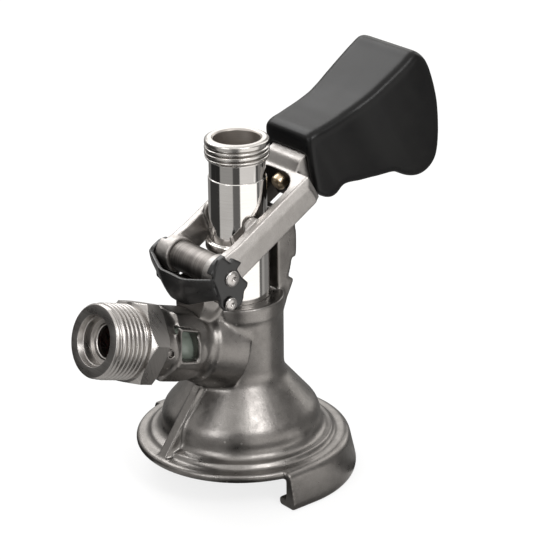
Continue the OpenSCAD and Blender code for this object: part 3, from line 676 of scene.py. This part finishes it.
link = cast_copy("link_moulding", None, 0.26, 7, 4, None, [link_solids])
piece(link, "link", "link_moulding", "link_moulding", "link_bracket")
high = revolve("upper_pivot_pin", domed_rows(2.2, 2.9, 18.7), 96, axis_matrix(PIN, (0, 1, 0)))
piece(high, "link", "turned_steel", "pin_steel", "upper_pin")

roller_rows = soft_rows([(2.66, -9.75, 0.1), (5.5, -9.75, 0.5), (5.5, 9.75, 0.5), (2.66, 9.75, 0.1)])
roll = revolve("steel_roller", roller_rows, 128, axis_matrix(PIN, (0, 1, 0)))
piece(roll, "roller", "dark_steel", "dark_steel", "roller")

# Lip and cheek of the lever's web, as (distance from the upper pin, height over the lever's axis)
WEB_LIP = [(43.4, -4), (43.8, -9.6), (44.6, -10.2), (46, -10.2), (46, -4)]
WEB_CHEEK = [(36.6, -4), (36.6, -8), (38.4, -10.2), (46, -10.2), (46, -4)]
CHEEK_INNER, CHEEK_OUTER = 7.5, 9.4
# Pocket round the bolt's tip: its run from the upper pin, half width and top
POCKET_FROM, POCKET_TO, POCKET_SIDE, POCKET_TOP = 33, 46.5, 12.3, 4.7


def web_lip(work):
    """Middle of the web and its two cheeks, which go deeper than the arms."""
    turn = Matrix.Translation(PIN) @ Matrix.Rotation(-LEVER_TILT, 4, "Y")
    plate(work, WEB_LIP, -CHEEK_OUTER, CHEEK_OUTER, turn)
    for side in (-1, 1):
        plate(work, WEB_CHEEK, side * CHEEK_INNER, side * CHEEK_OUTER, turn)


def in_pocket(face):
    """Front of the web and walls of the pocket, which get a much darker copy of the lever's metal as painted
    shade.
    """
    spot = face.center / MM - PIN
    beside = abs(spot.y) < POCKET_SIDE and spot.dot(LEVER_ACROSS) < POCKET_TOP
    along = POCKET_FROM < spot.dot(LEVER_AXIS) < POCKET_TO
    return beside and along and face.normal.dot(LEVER_AXIS) < 0.4


lever = cast_copy("lever_casting", "lever_yoke", 0.28, 4, 12, None, [web_lip])
piece(lever, "lever", "lever_steel", "lever_steel", "lever_yoke")
# Pocket faces darkened with their own material: painted shade
paint(lever, "pocket_shade_steel", in_pocket)

# Grip, bolt and spring

grip = cast_copy("hand_grip", "grip", 0.45, 14)
piece(grip, "grip", "black_moulding", "black_moulding", "grip")

bolt_rows = soft_rows([
    (0.01, 40.5, 0), (1.9, 40.5, 0.5), (2.9, 41.5, 0.6), (2.9, 50.6, 0.1), (4.3, 50.6, 0.1), (4.3, 52, 0.1),
    (2.0, 52, 0.1), (2.0, 77, 0), (0.01, 77, 0)])
bolt = revolve("latch_pin", bolt_rows, 96, axis_matrix(PIN, LEVER_AXIS))
piece(bolt, "grip", "brass_bolt", "brass_bolt", "latch_bolt")

SPRING_FROM, SPRING_TO, COIL_R, WIRE_R, TURNS = 52.45, 64.55, 3.33, 0.45, 7
COIL_STEPS, WIRE_STEPS = 28, 10


def coil_wire(work):
    """Latch spring as one closed wire along the lever."""
    along = axis_matrix(PIN, LEVER_AXIS).to_3x3()
    rings = []
    for i in range(TURNS * COIL_STEPS + 1):
        turn = 2 * math.pi * i / COIL_STEPS
        out = Vector((math.cos(turn), math.sin(turn), 0))
        height = SPRING_FROM + (SPRING_TO - SPRING_FROM) * i / (TURNS * COIL_STEPS)
        ring = []
        for k in range(WIRE_STEPS):
            a = 2 * math.pi * k / WIRE_STEPS
            spot = (COIL_R + WIRE_R * math.cos(a)) * out + Vector((0, 0, height + WIRE_R * math.sin(a)))
            ring.append(along @ spot + PIN)
        rings.append(ring)
    ring_solid(work, rings)


coil_mesh = bpy.data.meshes.new("coil_spring")
reshape(coil_mesh, coil_wire)
coil_mesh.shade_smooth()
coil = piece(placed("coil_spring", coil_mesh), "lever", "spring_steel", "spring_steel", "latch_spring")
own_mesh(coil)

for name, finish in NODE_FINISH.items():
    dress(nodes[name], finish)

# Floor, light and camera

CAMERA_TURN, CAMERA_RISE, CAMERA_ROLL = -39.4, 22.9, -0.53
CAMERA_AIM, CAMERA_DISTANCE, CAMERA_RIGHT, CAMERA_UP = (0, 0, 0.06), 0.831, 0.0144, 0.0112
FOCAL_LENGTH, SENSOR = 149.98, 36


def tinted(grey, green, blue):
    return (grey, grey * green, grey * blue)


def card_stops(bands, soft):
    """Ramp stops over world azimuth, from bands (start, grey) in degrees to the right of the camera."""
    table = []
    for k, (start, grey) in enumerate(bands):
        for turn, value in ((start - soft, bands[k - 1][1]), (start + soft, grey)):
            table.append((((turn + CAMERA_TURN + 90) % 360) / 360, value))
    return [(share, tinted(value, 0.985, 0.96)) for share, value in sorted(table)]


FLOOR_CARDS = card_stops([(-128, 0.045), (-72, 0.6), (-17, 0.15), (10.5, 1.5), (80, 0.16), (92, 0.4),
                          (106, 0.25)], 1.6)
HIGH_CARDS = card_stops([(-166, 0.8), (-92, 0.7), (-45, 0.28), (10, 1.05), (60, 0.3), (99, 0.35),
                         (125, 2.6), (151, 0.2), (166, 2.0)], 3.5)
TOP_CARD = [(0.0, tinted(1.7, 0.99, 0.97)), (1.0, tinted(1.2, 0.99, 0.97))]
# Heights of a direction where the low cards give way to the high ones, and those to the top
RISE, CROWN = (0.07, 0.28), (0.6, 0.85)
# Darker spot of the floor's cards, close in front of the skirt: a painted shadow that metal sees in the
# floor
SPOT, SPOT_RUN, SPOT_SHARE = (-0.014, -0.062, 0), (0.03, 0.075), 0.15


def floor_material():
    """Pale floor. Metal sees it with dark and bright cards round the object, by azimuth, and with a painted
    shadow close in front of the skirt.
    """
    f = Finish("floor")
    paper = f.add("BsdfDiffuse", Color=(0.9, 0.9, 0.9, 1)).outputs[0]
    white = f.add("Emission", Color=(1, 1, 1, 1), Strength=1.0).outputs[0]
    ray = f.add("LightPath")
    cards = f.ramp(f.azimuth(f.add("SeparateXYZ", Vector=f.place)), FLOOR_CARDS)
    apart = f.add("VectorMath", _0=f.place, _1=SPOT)
    apart.operation = "DISTANCE"
    # Cards dimmed near the spot: painted shadow
    beneath = f.span(apart.outputs["Value"], SPOT_SHARE, 1.0, *SPOT_RUN)
    card_light = f.add("Emission", Color=cards, Strength=beneath).outputs[0]
    lit = f.either(ray.outputs["Is Camera Ray"], paper, f.either(0.8, paper, white))
    full = f.either(ray.outputs["Is Glossy Ray"], lit, card_light)
    f.tree.links.new(full, f.out.inputs[0])
    return f.material


bpy.ops.mesh.primitive_circle_add(vertices=96, radius=4, fill_type="NGON", location=(0, 0, -0.0002))
floor = bpy.context.object
floor.name = "floor"
floor.data.materials.append(floor_material())

world = bpy.data.worlds.new("studio")
scene.world = world
world.use_nodes = True
sky = Nodes(world.node_tree)
split = sky.add("SeparateXYZ", Vector=sky.add("TexCoord").outputs["Generated"])
height = split.outputs[2]
share = sky.azimuth(split)
low_cards, high_cards = sky.ramp(share, FLOOR_CARDS), sky.ramp(share, HIGH_CARDS)
side_cards = sky.mix(sky.span(height, 0.0, 1.0, *RISE), low_cards, high_cards)
colour = sky.mix(sky.span(height, 0.0, 1.0, *CROWN), side_cards, sky.ramp(height, TOP_CARD))
dome = sky.add("Background", Color=colour, Strength=1.0).outputs[0]
white = sky.add("Background", Color=(1, 1, 1, 1), Strength=1.0).outputs[0]
shown = sky.either(sky.add("LightPath").outputs["Is Camera Ray"], dome, white)
sky.add("OutputWorld", Surface=shown)


def lamp(name, place, target, size, power):
    data = bpy.data.lights.new(name, "AREA")
    data.shape = "RECTANGLE"
    data.size, data.size_y = size
    data.energy = power
    obj = placed(name, data)
    obj.location = place
    obj.rotation_euler = (Vector(target) - Vector(place)).to_track_quat("-Z", "Y").to_euler()


lamp("behind", (0.02, 0.62, 0.72), (0, 0, 0.09), (0.6, 0.4), 3.0)
lamp("left", (-0.8, -0.15, 0.5), (0, 0, 0.06), (0.3, 0.5), 2.2)
lamp("front", (-0.06, -0.68, 0.78), (0, 0, 0.04), (0.3, 0.34), 3.0)

turn, rise, roll_angle = (math.radians(d) for d in (CAMERA_TURN, CAMERA_RISE, CAMERA_ROLL))
back = Vector((math.sin(turn) * math.cos(rise), -math.cos(turn) * math.cos(rise), math.sin(rise)))
level = Vector((math.cos(turn), math.sin(turn), 0))
upright = back.cross(level)
right = level * math.cos(roll_angle) + upright * math.sin(roll_angle)
up = upright * math.cos(roll_angle) - level * math.sin(roll_angle)
place = Vector(CAMERA_AIM) + CAMERA_DISTANCE * back + CAMERA_RIGHT * right + CAMERA_UP * up
camera_data = bpy.data.cameras.new("camera")
camera_data.lens = FOCAL_LENGTH
camera_data.sensor_width = SENSOR
camera_data.clip_end = 20
camera = placed("camera", camera_data)
camera.matrix_world = Matrix.Translation(place) @ Matrix((right, up, back)).transposed().to_4x4()
scene.camera = camera
scene.view_settings.view_transform = "Standard"
